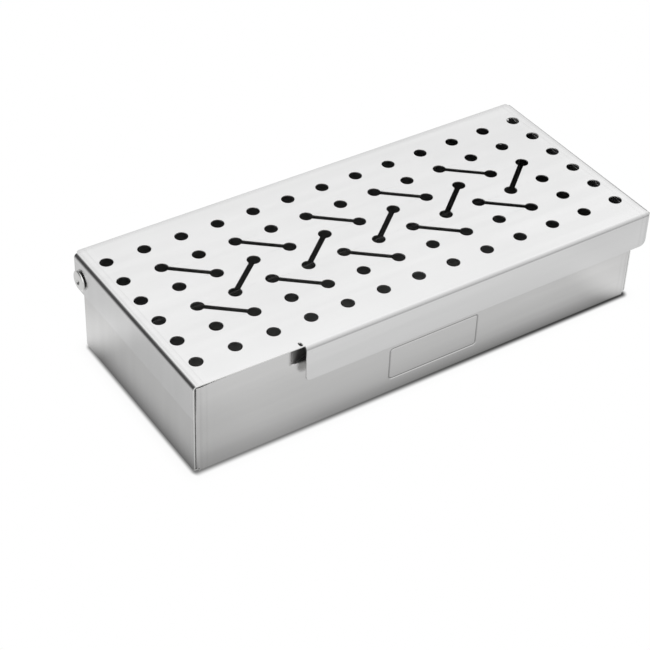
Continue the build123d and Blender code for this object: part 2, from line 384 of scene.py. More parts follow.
def lid_painted_shade(place):
    """Painted shade of the lid's folds, 0 on its flats: at the ends, the sine of twice the angle turned,
    to a power below 1; on the lip, one sine wave that leans past the middle of the fold. More
    painted shade darkens the inner skin at the end folds."""
    u, v, depth = place.T
    from_fold = np.abs(u) - LID_FOLD_X
    _, _, end_angle = quarter_turn(from_fold)
    _, _, lip_angle = quarter_turn(LID_EDGE - v)
    end = np.maximum(np.sin(2 * end_angle), 0) ** END_SPREAD
    lip = LIP_FOLD_SHADE * np.sin(math.pi * (lip_angle / QUARTER) ** LIP_LEAN)
    # Painted shade on the inner skin round the end folds
    in_inner_shade = (depth > SHEET / 2) & (from_fold > -INNER_SHADE_REACH) & (from_fold < ARC + INNER_SHADE_REACH)
    return np.where(in_inner_shade, INNER_SHADE, np.where(v < LID_EDGE, lip, end))


def lid_inner_finish(uv):
    """Darker inside finish, a painted shade, under the top and round its end folds; brighter finish, a
    painted light, behind the lip; and the outer skin's own lower down the flanges."""
    under_top = np.abs(uv[:, 0]) < LID_FOLD_X + ARC + INNER_SHADE_REACH
    return np.where(uv[:, 1] < LID_EDGE - ARC, BEHIND_LIP, np.where(under_top, INSIDE, SKIN))


def lid_shaded_rim(uv):
    """True on the lip's left edge, which turns to the tray and gets painted shade."""
    return (np.abs(uv[:, 0] - LIP_LEFT) < SHEET) & (uv[:, 1] < LID_EDGE - ARC)


def vent_place(column, row):
    """Centre of a vent, counted from the front left corner of the grid."""
    steps = np.array((column - (VENT_COLUMNS - 1) / 2, row - (VENT_ROWS - 1) / 2))
    return GRID_CENTER + steps * VENT_PITCH


def slot_frame(start, end):
    """A slot's length, and its directions along and across."""
    length = np.linalg.norm(end - start)
    run = (end - start) / length
    return length, run, np.array((-run[1], run[0]))


def lid_blank():
    """Outline, relief cut, vents, slots and fold lines of the lid, cut flat."""
    flange_end = LID_FOLD_X + ARC + FLANGE_HEIGHT - BEND
    lip_end = LID_EDGE - ARC - (lid_high.z - lid_low.z - BEND)
    outline = rounded((
        (LIP_LEFT, lip_end, LIP_LEFT_RADIUS),
        (LIP_RIGHT, lip_end, LIP_RIGHT_RADIUS),
        (LIP_RIGHT, LID_EDGE, 0),
        (flange_end, LID_EDGE, FLANGE_FRONT_RADIUS),
        (flange_end, FLANGE_REAR, FLANGE_REAR_RADIUS),
        (LID_FOLD_X, FLANGE_REAR, 0),
        (LID_FOLD_X, lid_high.y, LID_CORNER_RADIUS),
        (-LID_FOLD_X, lid_high.y, LID_CORNER_RADIUS),
        (-LID_FOLD_X, FLANGE_REAR, 0),
        (-flange_end, FLANGE_REAR, FLANGE_REAR_RADIUS),
        (-flange_end, LID_EDGE + EDGE_SLANT, FLANGE_FRONT_RADIUS),
        (-LID_FOLD_X - ARC, LID_EDGE + EDGE_SLANT, 0),
        (RELIEF_X, LID_EDGE, 0),
        (LIP_LEFT, LID_EDGE, 0),
    ))
    relief_front = LID_EDGE + RELIEF_INSET
    relief = rounded_box(
        RELIEF_X - RELIEF_WIDTH / 2, RELIEF_X + RELIEF_WIDTH / 2,
        relief_front, relief_front + RELIEF_LENGTH, RELIEF_WIDTH / 2 - TOLERANCE,
    )
    vents = [vent_place(column, row) for column in range(VENT_COLUMNS) for row in range(VENT_ROWS)]
    holes = [(vent, VENT_RADIUS) for vent in vents]
    pivot_x = LID_FOLD_X + ARC + lid_high.z - BEND - PIVOT_Z
    holes += [(np.array((x, PIVOT_Y)), PIVOT_HOLE) for x in (-pivot_x, pivot_x)]
    slots, lines = [], []

    # Slots, each from one vent to another by their columns and rows, in threes along the lid
    for column in range(1, VENT_COLUMNS - 3, 2):
        slots.append((vent_place(column, 4), vent_place(column + 1, 3)))
        slots.append((vent_place(column + 1, 2), vent_place(column + 2, 3)))
        slots.append((vent_place(column, 2), vent_place(column + 1, 1)))
    for start, end in slots:
        aside = slot_frame(start, end)[2] * SLOT_WIDTH / 2
        lines += [(start + aside, end + aside), (start - aside, end - aside)]
    for share in np.linspace(0, 1, BEND_STEPS + 1):
        end_fold, lip_fold = LID_FOLD_X + share * ARC, LID_EDGE - share * ARC
        for x in (-end_fold, end_fold):
            lines.append(((x, LID_EDGE - SHEET), (x, lid_high.y + SHEET)))
        lines.append(((LIP_LEFT - SHEET, lip_fold), (LIP_RIGHT + SHEET, lip_fold)))

    def keep(centers):
        """True for triangles on metal: inside the outline, and outside every hole and slot."""
        metal = inside(outline, centers) & ~inside(relief, centers) & off_holes(centers, holes)
        for start, end in slots:
            length, run, across = slot_frame(start, end)
            along = (centers - start) @ run
            beside = np.abs((centers - start) @ across) > SLOT_WIDTH / 2
            metal &= (along < 0) | (along > length) | beside
        return metal

    return triangulate([outline, relief] + [circle(*hole) for hole in holes], lines, [], keep)


# Tray


def frame_distance(x, z):
    """Signed distance from the pressed frame's rounded rectangle: below 0 inside it."""
    from_x = np.abs(x - (FRAME_LEFT + FRAME_RIGHT) / 2) - (FRAME_RIGHT - FRAME_LEFT) / 2 + FRAME_RADIUS
    from_z = np.abs(z - (FRAME_BOTTOM + FRAME_TOP) / 2) - (FRAME_TOP - FRAME_BOTTOM) / 2 + FRAME_RADIUS
    outside = np.hypot(np.maximum(from_x, 0), np.maximum(from_z, 0))
    return outside + np.minimum(np.maximum(from_x, from_z), 0) - FRAME_RADIUS


def ledge_share(z):
    """Half a cosine wave up from the finger recess's bottom edge."""
    return (1 - np.cos(math.pi * np.clip((z - FRONT_RIM + RECESS_FALL) / RECESS_LEDGE, 0, 1))) / 2


def recess_inset(x):
    """Distance in from the nearer side of the finger recess: below 0 outside it."""
    return RECESS_WIDTH / 2 - np.abs(x - RECESS_LEFT - RECESS_WIDTH / 2)


def recess_share(x, z):
    """How far the finger recess is pressed in, from 0 to 1: half a cosine wave inwards from each
    side, times a short one up from its bottom edge."""
    side = np.clip(recess_inset(x) / RECESS_RAMP, 0, 1)
    return (1 - np.cos(math.pi * side)) / 2 * ledge_share(z)


def groove_share(x, z):
    """Depth of the frame's round groove, from 0 to 1: the squared cosine of the way off its middle."""
    groove = np.clip(np.abs(frame_distance(x, z)) / GROOVE_HALF_WIDTH, 0, 1)
    return np.cos(groove * QUARTER) ** 2


def pressed(x, z):
    """Depth that the front wall is pressed in: the recess, and the groove along the frame."""
    return RECESS_DEPTH * recess_share(x, z) + GROOVE_DEPTH * groove_share(x, z)


def on_end_wall(a, b):
    """True where the flat blank belongs to an end wall or to the floor between the end walls."""
    beside_tabs = np.abs(a) > WALL_X + ARC + TAB_LENGTH + SHEET
    in_corner = (np.abs(a) > (WALL_X + FLOOR_X) / 2) & (b < HALF_DEPTH)
    return (b <= FLOOR_Y) | beside_tabs | in_corner


def tray_surface(uv):
    """Outer skin of the tray over its flat blank: both pairs of walls turn up from the floor, and
    the ends of the front and rear walls turn once more, into tabs."""
    a, b = uv[:, 0], np.abs(uv[:, 1])
    end = np.sign(uv[:, 1])
    side = np.sign(a)
    at_end = on_end_wall(a, b)
    end_on, end_rise, _ = quarter_turn(np.abs(a) - FLOOR_X)
    wall_on, wall_rise, _ = quarter_turn(b - FLOOR_Y)
    tab_on, tab_fall, _ = quarter_turn(np.abs(a) - WALL_X)
    x = TRAY_X + side * np.where(at_end, FLOOR_X + end_on, WALL_X + tab_on)
    z = np.where(at_end, end_rise, wall_rise)
    y = TRAY_Y + end * np.where(at_end, b, FLOOR_Y + wall_on - tab_fall)
    on_front = ~at_end & (end < 0) & (b > FLOOR_Y + ARC)
    return np.column_stack((x, y + np.where(on_front, pressed(x, z), 0), z))


def tray_painted_shade(place):
    """Painted shade of the tray's lower folds: the sine of twice the angle turned. The frame's groove
    adds a painted shade by its depth, and the finger recess one that grows as
    1 - exp(-distance from its sides). The upright folds have none. More painted shade darkens the
    end walls' inner skin next to the hinge."""
    u, v, depth = place.T
    a, b = np.abs(u), np.abs(v)
    at_end = on_end_wall(a, b)
    _, _, end_angle = quarter_turn(a - FLOOR_X)
    _, _, wall_angle = quarter_turn(b - FLOOR_Y)
    on_front = ~at_end & (v < 0) & (b > FLOOR_Y + ARC)
    x, z = TRAY_X + u, b - FLOOR_Y - ARC + BEND
    inward = np.maximum(recess_inset(x) - RECESS_SHADE_START, 0)
    recess = (1 - np.exp(-inward / RECESS_SHADE_FADE)) * ledge_share(z)
    shade = GROOVE_SHADE * groove_share(x, z) + RECESS_SHADE * recess
    painted_shade = np.sin(2 * np.where(at_end, end_angle, wall_angle)) + np.where(on_front, shade, 0)
    # Painted shade on the end walls' inner skin next to the hinge
    near_hinge = (a > FLOOR_X + PIVOT_Z - EAR_RADIUS) & (v > FLOOR_Y - 2 * EAR_RADIUS)
    return np.where((depth > SHEET / 2) & near_hinge, INNER_SHADE, painted_shade)


def tray_shaded_rim(uv):
    """True on the rims of the end walls, where they stand under the lid and get painted shade."""
    past = np.abs(uv[:, 0]) - (FLOOR_X + ARC + END_RIM - BEND)
    return (np.abs(past) < WALL_CORNER_RADIUS) & (np.abs(uv[:, 1]) < FLOOR_Y)


def tray_inner_finish(uv):
    """Darker inside finish, a painted shade, all over."""
    return np.full(len(uv), INSIDE)


def tray_outside(uv):
    """The tray's outer skin with u reversed, so that its normals point out of the box."""
    return tray_surface(uv * (-1, 1))


def tray_outside_painted_shade(place):
    """The tray's painted shade mask on the same reversed blank."""
    return tray_painted_shade(place * (-1, 1, 1))


def tray_blank():
    """Outline, rivet holes, groove and fold lines of the tray, cut flat, about its floor's middle."""
    def up_wall(z):
        """Distance from the floor's middle of a height on the front or rear wall."""
        return FLOOR_Y + ARC + z - BEND

    def up_end(z):
        """Distance from the floor's middle of a height on an end wall."""
        return FLOOR_X + ARC + z - BEND

    tab = WALL_X + ARC + TAB_LENGTH
    notch_bottom = PIVOT_Z - EAR_RADIUS - NOTCH_MARGIN
    pivot = np.array((up_end(PIVOT_Z), PIVOT_Y - TRAY_Y))
    wall_half = HALF_DEPTH - WALL_SETBACK
    corner = WALL_CORNER_RADIUS
    front = -up_wall(0)
    rear = up_wall(0)

    def half(setback):
        """Half of the outline, from the front wall's middle round to the rear wall's, with the end
        wall's front edge set back."""
        return (
            (WALL_X - RIM_FALL_LENGTH, front - FRONT_RIM, 0),
            (WALL_X, front - FRONT_RIM + RIM_FALL, 0),
            (tab, front - FRONT_RIM + RIM_FALL, corner),
            (tab, front - TAB_BOTTOM, corner),
            (WALL_X, front - TAB_BOTTOM, 0),
            (WALL_X, -FLOOR_Y, 0),
            (FLOOR_X, -FLOOR_Y, 0),
            (up_end(BEND), -FLOOR_Y, 0),
            (up_end(BEND), setback - HALF_DEPTH, corner),
            (up_end(END_RIM), setback - HALF_DEPTH, corner),
            (up_end(END_RIM), wall_half, corner),
            (pivot[0] + EAR_RADIUS, wall_half, 0),
            (pivot[0] + EAR_RADIUS, pivot[1] + EAR_RADIUS, EAR_RADIUS - TOLERANCE),
            (pivot[0] - EAR_RADIUS, pivot[1] + EAR_RADIUS, EAR_RADIUS - TOLERANCE),
            (pivot[0] - EAR_RADIUS, wall_half, 0),
            (up_end(BEND), wall_half, corner),
            (up_end(BEND), FLOOR_Y, 0),
            (FLOOR_X, FLOOR_Y, 0),
            (WALL_X, FLOOR_Y, 0),
            (WALL_X, rear + TAB_BOTTOM, 0),
            (tab, rear + TAB_BOTTOM, corner),
            (tab, rear + notch_bottom, corner),
            (HALF_LENGTH - NOTCH_WIDTH, rear + notch_bottom, NOTCH_RADIUS),
            (HALF_LENGTH - NOTCH_WIDTH, rear + REAR_RIM, corner),
        )

    left = tuple((-u, v, radius) for u, v, radius in reversed(half(WALL_SETBACK)))
    outline = rounded(half(FAR_SETBACK) + left)
    holes = [(pivot * (side, 1), PIVOT_HOLE) for side in (-1, 1)]
    loops = [outline] + [circle(*hole) for hole in holes]
    lines = []
    reach = up_wall(FRONT_RIM) + SHEET
    for share in np.linspace(0, 1, BEND_STEPS + 1):
        for side in (-1, 1):
            fold_x, fold_y, fold_tab = side * (np.array((FLOOR_X, FLOOR_Y, WALL_X)) + share * ARC)
            lines.append(((fold_x, -FLOOR_Y), (fold_x, FLOOR_Y)))
            lines.append(((-WALL_X, fold_y), (WALL_X, fold_y)))
            for end in (-1, 1):
                low, high = end * (up_wall(TAB_BOTTOM) - SHEET), end * reach
                lines.append(((fold_tab, low), (fold_tab, high)))

    # The frame's groove: loops at set distances from its middle line
    middle_x = -TRAY_X
    for share in GROOVE_OFFSET_SHARES:
        grow = share * GROOVE_HALF_WIDTH
        loops.append(rounded_box(
            middle_x + FRAME_LEFT - grow, middle_x + FRAME_RIGHT + grow,
            front - FRAME_BOTTOM + grow, front - FRAME_TOP - grow, FRAME_RADIUS + grow,
        ))

    # Close points over the finger recess and along its rim
    margin = 2 * RECESS_SPACING
    across = np.arange(RECESS_LEFT - margin, RECESS_LEFT + RECESS_WIDTH + margin, RECESS_SPACING)
    upward = np.arange(FRONT_RIM - RECESS_FALL - margin, FRONT_RIM, RECESS_SPACING)
    x, z = (grid.ravel() for grid in np.meshgrid(across, upward))
    rim = np.column_stack((across + middle_x, np.full(len(across), front - FRONT_RIM)))
    points = np.concatenate((np.column_stack((x + middle_x, front - z)), rim))

    def keep(centers):
        """True for triangles on metal: inside the outline, and outside both rivet holes."""
        return inside(outline, centers) & off_holes(centers, holes)

    return triangulate(loops, lines, points, keep)


# Hinge


def turned_piece(name, profile, seat, side, material, sides=64):
    """A body of revolution about the pivot: each (along, radius) of the profile, carried round X as
    (side * along, radius cos a, radius sin a). A profile that begins and ends on the axis closes
    there in two points, and any other closes on itself. Normals stand square to the chord between
    each point's neighbours. Painted shade darkens what lies well in from the seat."""
    profile = np.array(profile, float)
    on_axis = profile[0, 1] == 0
    slope = unit(np.roll(profile, -1, axis=0) - np.roll(profile, 1, axis=0))
    rings = slice(1, -1) if on_axis else slice(None)
    along, radius = profile[rings].T
    facing_along, facing_out = slope[rings, 1], -slope[rings, 0]
    angle = np.linspace(0, 2 * math.pi, sides, endpoint=False)
    spokes = np.column_stack((np.zeros(sides), np.cos(angle), np.sin(angle)))
    center = np.array((seat, PIVOT_Y, PIVOT_Z))
    vertices = center + side * along[:, None, None] * X_AXIS + radius[:, None, None] * spokes
    normals = side * facing_along[:, None, None] * X_AXIS + facing_out[:, None, None] * spokes
    vertices, normals = vertices.reshape(-1, 3), normals.reshape(-1, 3)
    index = np.arange(len(along) * sides).reshape(-1, sides)
    following = np.roll(index, -1, axis=1)
    if on_axis:
        ahead, ahead_following = index[1:], following[1:]
    else:
        ahead, ahead_following = (np.roll(corners, -1, axis=0) for corners in (index, following))
    count = len(ahead)
    faces = np.stack((index[:count], following[:count], ahead_following, ahead), axis=-1)
    faces = faces.reshape(-1, 4).tolist()
    if on_axis:
        first, last = len(vertices), len(vertices) + 1
        poles = center + side * profile[(0, -1), 0][:, None] * X_AXIS
        vertices = np.concatenate((vertices, poles))
        normals = np.concatenate((normals, side * np.array((X_AXIS, -X_AXIS))))
        faces += np.column_stack((np.full(sides, first), following[0], index[0])).tolist()
        faces += np.column_stack((index[-1], following[-1], np.full(sides, last))).tolist()
    if side > 0:
        faces = [face[::-1] for face in faces]
    # Painted shade on the part that lies inside the box
    inner_shade = np.where((vertices[:, 0] - seat) * side < -INNER_SHADE_INSET, INNER_SHADE, 0.0)
    return mesh_piece(name, vertices, faces, normals, {"bend": inner_shade}, [material])


def rivet_profile(grip):
    """Profile of a blind rivet from the middle of its dimple, over the dome and down the shank, to
    the middle of its inner head: (along, radius) from the seat of the dome. The dimple is as deep as
    (1 - t^2)^1.5 at the share t of its radius. The dome falls as cos(a)^0.9 while its radius grows as
    sin(a), and the inner head runs inwards as sin(a) while its radius shrinks as cos(a)^0.6."""
    head_radius, head_rim = 6.3 * MM, 0.75 * MM
    dimple_radius, dimple_depth = 2.8 * MM, 1.5 * MM
    undercut_start, undercut_end, undercut_inset = 0.5 * MM, 0.42 * MM, 0.3 * MM
    rim_inset, seat_inset = 0.08 * MM, 1.1 * MM
    shank, shop_radius = 2.4 * MM, 3.8 * MM
    t = np.linspace(0, 1, 11)
    points = list(zip(HEAD_HEIGHT - dimple_depth * (1 - t**2) ** 1.5, dimple_radius * t))
    a = np.linspace(0, QUARTER, 15)[1:]
    points += list(zip(
        head_rim + (HEAD_HEIGHT - head_rim) * np.cos(a) ** 0.9,
        dimple_radius + (head_radius - dimple_radius) * np.sin(a),
    ))
    points += [
        (undercut_start, head_radius - rim_inset), (undercut_end, head_radius - undercut_inset),
        (0, head_radius - seat_inset), (0, shank + NICK), (-NICK, shank),
        (NICK - grip, shank), (-grip, shank + NICK),
        (-grip, shop_radius - NICK), (-grip - NICK, shop_radius),
    ]
    a = np.linspace(0, QUARTER, 10)[1:-1]
    points += list(zip(-grip - SHOP_LENGTH * np.sin(a), shop_radius * np.cos(a) ** 0.6))
    return points + [(-grip - SHOP_LENGTH, 0)]


def ring_profile(length, radius):
    """Closed profile of a washer or tube about the pivot, with slightly rounded outer edges."""
    soft = 0.15 * MM
    bore = PIVOT_HOLE
    return [
        (NICK, bore), (length - NICK, bore), (length, bore + NICK), (length, radius - soft),
        (length - soft, radius), (soft, radius), (0, radius - soft), (0, bore + NICK),
    ]


# Shader nodes

WHITE = (1.0, 1.0, 1.0, 1.0)


def node_group(name, takes, gives):
    """An empty shader group that takes a place and named numbers, and gives numbers: the group,
    what its input node gives, and its output node."""
    group = bpy.data.node_groups.new(name, "ShaderNodeTree")
    group.interface.new_socket(name="Vector", in_out="INPUT", socket_type="NodeSocketVector")
    for number in takes:
        group.interface.new_socket(name=number, in_out="INPUT", socket_type="NodeSocketFloat")
    for number in gives:
        group.interface.new_socket(name=number, in_out="OUTPUT", socket_type="NodeSocketFloat")
    return group, group.nodes.new("NodeGroupInput").outputs, group.nodes.new("NodeGroupOutput")


def feed(node, inputs):
    """Set a node's inputs, by name or number, to values, or link them to other nodes' outputs."""
    for key, value in inputs.items():
        if isinstance(value, bpy.types.NodeSocket):
            node.id_data.links.new(value, node.inputs[key])
        else:
            node.inputs[key].default_value = value


def add(nodes, kind, inputs=None, **settings):
    """A node of a kind with its properties set and its inputs fed."""
    node = nodes.new(kind)
    for key, value in settings.items():
        setattr(node, key, value)
    feed(node, inputs or {})
    return node


def combine(nodes, operation, *terms):
    """Sum, product or other arithmetic of terms, each a number or another node's output."""
    return add(nodes, "ShaderNodeMath", dict(enumerate(terms)), operation=operation).outputs[0]


def product(nodes, first, *others):
    """All terms multiplied."""
    for other in others:
        first = combine(nodes, "MULTIPLY", first, other)
    return first


def combine_vectors(nodes, operation, *terms):
    """Arithmetic of vectors, which gives a vector, or for a length or dot product a number."""
    made = add(nodes, "ShaderNodeVectorMath", dict(enumerate(terms)), operation=operation)
    return made.outputs["Value" if operation in ("LENGTH", "DOT_PRODUCT") else "Vector"]


def ramp(nodes, value, low, high, at_low, at_high, kind="SMOOTHSTEP", clamp=True):
    """Rise or fall of a value between two places: each term may be a number or a node's output."""
    terms = {"Value": value, "From Min": low, "From Max": high, "To Min": at_low, "To Max": at_high}
    return add(nodes, "ShaderNodeMapRange", terms, interpolation_type=kind, clamp=clamp).outputs[0]


def mix_shaders(nodes, share, first, second):
    """The first shader where the share is 0, and the second where it is 1."""
    return add(nodes, "ShaderNodeMixShader", {0: share, 1: first.outputs[0], 2: second.outputs[0]})


# Finishes

# Grain: lines per metre of its finest noise, and how far each of its three noises is drawn out
# along the blank and squeezed across it
GRAIN_LINES = 2600.0
GRAIN_SIZES = ((45.0, 1.0), (14.0, 0.22), (5.0, 0.035))
GRAIN_BLEND = 0.6
PATCH_SCALE = 18.0

# Painted shade and highlight lines beside a fold: reach and depth, and lines by their share of
# the reach and their level about 0.5
SHADE_AND_SHEEN_REACH = 8.0 * MM
SHADE_AND_SHEEN_DEPTH = 0.2
FOLD_SHADE_AND_SHEEN = (
    (0.0, 0.5), (0.03, 0.05), (0.13, 0.15), (0.28, 0.52), (0.46, 0.48),
    (0.55, 0.25), (0.65, 0.52), (0.87, 0.56), (1.0, 0.5),
)

# Tones that the noises carry, and the sheet's darkening towards its rear edge
NOISE_RANGE = (0.3, 0.7)
STREAK_TONES = (0.97, 1.02)
PATCH_TONES = (0.985, 1.01)
ROUGHNESS_SPREAD = 0.06
PRESSED_ROUGHNESS = 0.3
REAR_REACH = 5.0 * MM
REAR_TONE = 0.86
# Colour of the broken edges: brighter, as burnishing and a painted highlight
EDGE_COLOR = (0.93, 0.93, 0.92, 1.0)
SHEET_GRAIN = 0.004 * MM


def brushed_grain_group():
    """Fine scratches along the blank's length: noise that is squeezed across the grain and drawn
    out along it, in two sizes, with broad soft streaks apart."""
    group, source, sink = node_group("brushed_grain", (), ("Height", "Streaks"))
    nodes = group.nodes
    along, across, _ = add(nodes, "ShaderNodeSeparateXYZ", {0: source["Vector"]}).outputs
    across = product(nodes, across, GRAIN_LINES)
    noises = []
    for draw_out, squeeze in GRAIN_SIZES:
        stretched = {"X": product(nodes, along, draw_out), "Y": product(nodes, across, squeeze)}
        join = add(nodes, "ShaderNodeCombineXYZ", stretched)
        noise = add(nodes, "ShaderNodeTexNoise", {
            "Vector": join.outputs[0], "Scale": 1.0, "Detail": 2.0, "Roughness": 0.6,
        })
        noises.append(noise.outputs["Fac"])
    fine, coarse, streaks = noises
    feed(sink, {"Height": combine(nodes, "MULTIPLY_ADD", coarse, GRAIN_BLEND, fine), "Streaks": streaks})
    return group


def handling_group():
    """Broad uneven patches, as from handling and rolling: soft noise, about 0.5."""
    group, source, sink = node_group("handling", (), ("Patches",))
    broad = add(group.nodes, "ShaderNodeTexNoise", {
        "Vector": source["Vector"], "Scale": PATCH_SCALE,
        "Detail": 3.0, "Roughness": 0.55, "Distortion": 0.4,
    })
    feed(sink, {"Patches": broad.outputs["Fac"]})
    return group


def fold_shade_and_sheen_group():
    """Faint painted shade and highlight lines beside a fold, standing in for its flank's reflections, by
    the distance from it: a darker line next to the fold, and a fainter one about halfway out."""
    group, source, sink = node_group("fold_shade_and_sheen", ("Fold", "Strength"), ("Tone",))
    nodes = group.nodes
    split = add(nodes, "ShaderNodeSeparateXYZ", {0: source["Vector"]})
    out = combine(nodes, "ABSOLUTE", split.outputs["X"])
    inward = combine(nodes, "SUBTRACT", source["Fold"], out)
    shade_and_sheen = add(nodes, "ShaderNodeValToRGB", {"Fac": combine(nodes, "DIVIDE", inward, SHADE_AND_SHEEN_REACH)})
    elements = shade_and_sheen.color_ramp.elements
    for (place, level), element in zip((FOLD_SHADE_AND_SHEEN[0], FOLD_SHADE_AND_SHEEN[-1]), elements):
        element.position, element.color = place, (level, level, level, 1.0)
    for place, level in FOLD_SHADE_AND_SHEEN[1:-1]:
        elements.new(place).color = (level, level, level, 1.0)
    strength = product(nodes, source["Strength"], SHADE_AND_SHEEN_DEPTH)
    centered = combine(nodes, "SUBTRACT", shade_and_sheen.outputs["Color"], 0.5)
    feed(sink, {"Tone": combine(nodes, "MULTIPLY_ADD", centered, strength, 1.0)})
    return group


grain_group = brushed_grain_group()
patch_group = handling_group()
shade_and_sheen_group = fold_shade_and_sheen_group()


def steel(name, color, roughness, grain_depth, painted_shade_tone, on_blank=True, shade_and_sheen=None, rear=None):
    """Brushed stainless steel. The grain follows the blank round its folds, or else the piece's own
    X. The folds get painted shade, faint painted shade and highlight lines run beside them, and
    the broken edges are brighter, burnished and with a painted highlight. The lines take the fold's
    distance from the blank's middle and their strength; rear is the blank's rear edge, towards
    which the sheet gets darker."""
    material = bpy.data.materials.new(name)
    material.use_nodes = True
    nodes = material.node_tree.nodes
    if on_blank:
        place = add(nodes, "ShaderNodeAttribute", attribute_name="blank").outputs["Vector"]
    else:
        place = add(nodes, "ShaderNodeTexCoord").outputs["Object"]
    lines = add(nodes, "ShaderNodeGroup", {"Vector": place}, node_tree=grain_group).outputs
    patches = add(nodes, "ShaderNodeGroup", {"Vector": place}, node_tree=patch_group).outputs[0]
    worn_and_highlit = add(nodes, "ShaderNodeAttribute", attribute_name="worn_and_highlit").outputs["Fac"]
    # Painted shade at folds, grooves, the finger recess and inner skins
    bend = add(nodes, "ShaderNodeAttribute", attribute_name="bend").outputs["Fac"]

    # Colour: the product of all tones, then edges brightened as burnishing and a painted highlight
    tones = [
        ramp(nodes, lines["Streaks"], *NOISE_RANGE, *STREAK_TONES, "LINEAR"),
        ramp(nodes, patches, *NOISE_RANGE, *PATCH_TONES, "LINEAR"),
        ramp(nodes, bend, 0.0, 1.0, 1.0, painted_shade_tone, "LINEAR", clamp=False),
    ]
    # Painted shade and highlight lines beside the fold
    if shade_and_sheen:
        fold, strength = shade_and_sheen
        inputs = {"Vector": place, "Fold": fold, "Strength": strength}
        tones.append(add(nodes, "ShaderNodeGroup", inputs, node_tree=shade_and_sheen_group).outputs["Tone"])
    if rear:
        split = add(nodes, "ShaderNodeSeparateXYZ", {0: place})
        tones.append(ramp(nodes, split.outputs["Y"], rear - REAR_REACH, rear, 1.0, REAR_TONE))
    scaled = {0: color, "Scale": product(nodes, *tones)}
    shade = add(nodes, "ShaderNodeVectorMath", scaled, operation="SCALE").outputs[0]
    edged = add(nodes, "ShaderNodeMix", {"Factor": worn_and_highlit, "A": shade, "B": EDGE_COLOR}, data_type="RGBA")

    # Roughness: patches about its middle value, and more where the sheet is pressed deep
    spread = (roughness * (1 - ROUGHNESS_SPREAD), roughness * (1 + ROUGHNESS_SPREAD))
    rough = ramp(nodes, patches, *NOISE_RANGE, *spread, "LINEAR")
    rougher = ramp(nodes, bend, 1.0, 2.0, 0.0, PRESSED_ROUGHNESS, "LINEAR")

    # Relief: the grain
    relief = {"Strength": 1.0, "Distance": grain_depth, "Height": lines["Height"]}
    feed(nodes["Principled BSDF"], {
        "Metallic": 1.0,
        "Base Color": edged.outputs["Result"],
        "Roughness": combine(nodes, "ADD", rough, rougher),
        "Normal": add(nodes, "ShaderNodeBump", relief).outputs[0],
    })
    return material


# Stage, light and camera

# Shade on the floor for the camera: where it begins and its level there, at the left and right
# ends; where it ends, beside the left wall and elsewhere; its share at the tray; where it is whole
SHADE_START = (0.8 * MM, 1.6 * MM)
SHADE_LEVEL = (0.16, 0.02)
SHADE_END = (4.4 * MM, 5.3 * MM)
CAMERA_SHARE = 0.9
CAMERA_SHARE_REACH = 12 * MM

# What steel mirrors in the floor: its open level, lower at both sides and far away, and its least
FLOOR_LEVEL = 0.80
LEFT_LEVEL = 0.87
LEFT_SPAN = (8 * MM, 60 * MM)
RIGHT_LEVEL = 0.94
RIGHT_SPAN = (-10 * MM, 20 * MM)
FAR_LEVEL = 0.80
FAR_REACH = (90 * MM, 320 * MM)
LEAST_LEVEL = 0.02

# Glow where the pool of shade has ended, beside the left wall and elsewhere
GLOW = (0.19, 0.06)
GLOW_REACH = (20 * MM, 50 * MM)

# Pool of shade before the walls. Near part: where it begins; how far it reaches beside the left
# wall and elsewhere; its depth at the left wall and from a place along X on; and how much deeper it
# is beside the left wall. Then its far part, and where both end at the right and rear
POOL_START = 3 * MM
POOL_REACH = (17 * MM, 23 * MM)
POOL_DEPTH = (0.22, 0.31)
POOL_DEPTH_END = 60 * MM
POOL_LEFT = 0.06
POOL_FAR = 0.15
POOL_FAR_REACH = (30 * MM, 62 * MM)
POOL_RIGHT = (124 * MM, 152 * MM)
POOL_RIGHT_SHIFT = 20 * MM
POOL_RIGHT_FADE = 5 * MM
POOL_REAR = (44 * MM, 70 * MM)

# Dark line of contact: how fast it fades, its depth at the left wall and from a place along X on,
# and how much deeper it is beside the left wall
CONTACT_FADE = 3 * MM
CONTACT = (0.05, 0.5)
CONTACT_END = 70 * MM
CONTACT_LEFT = 0.55


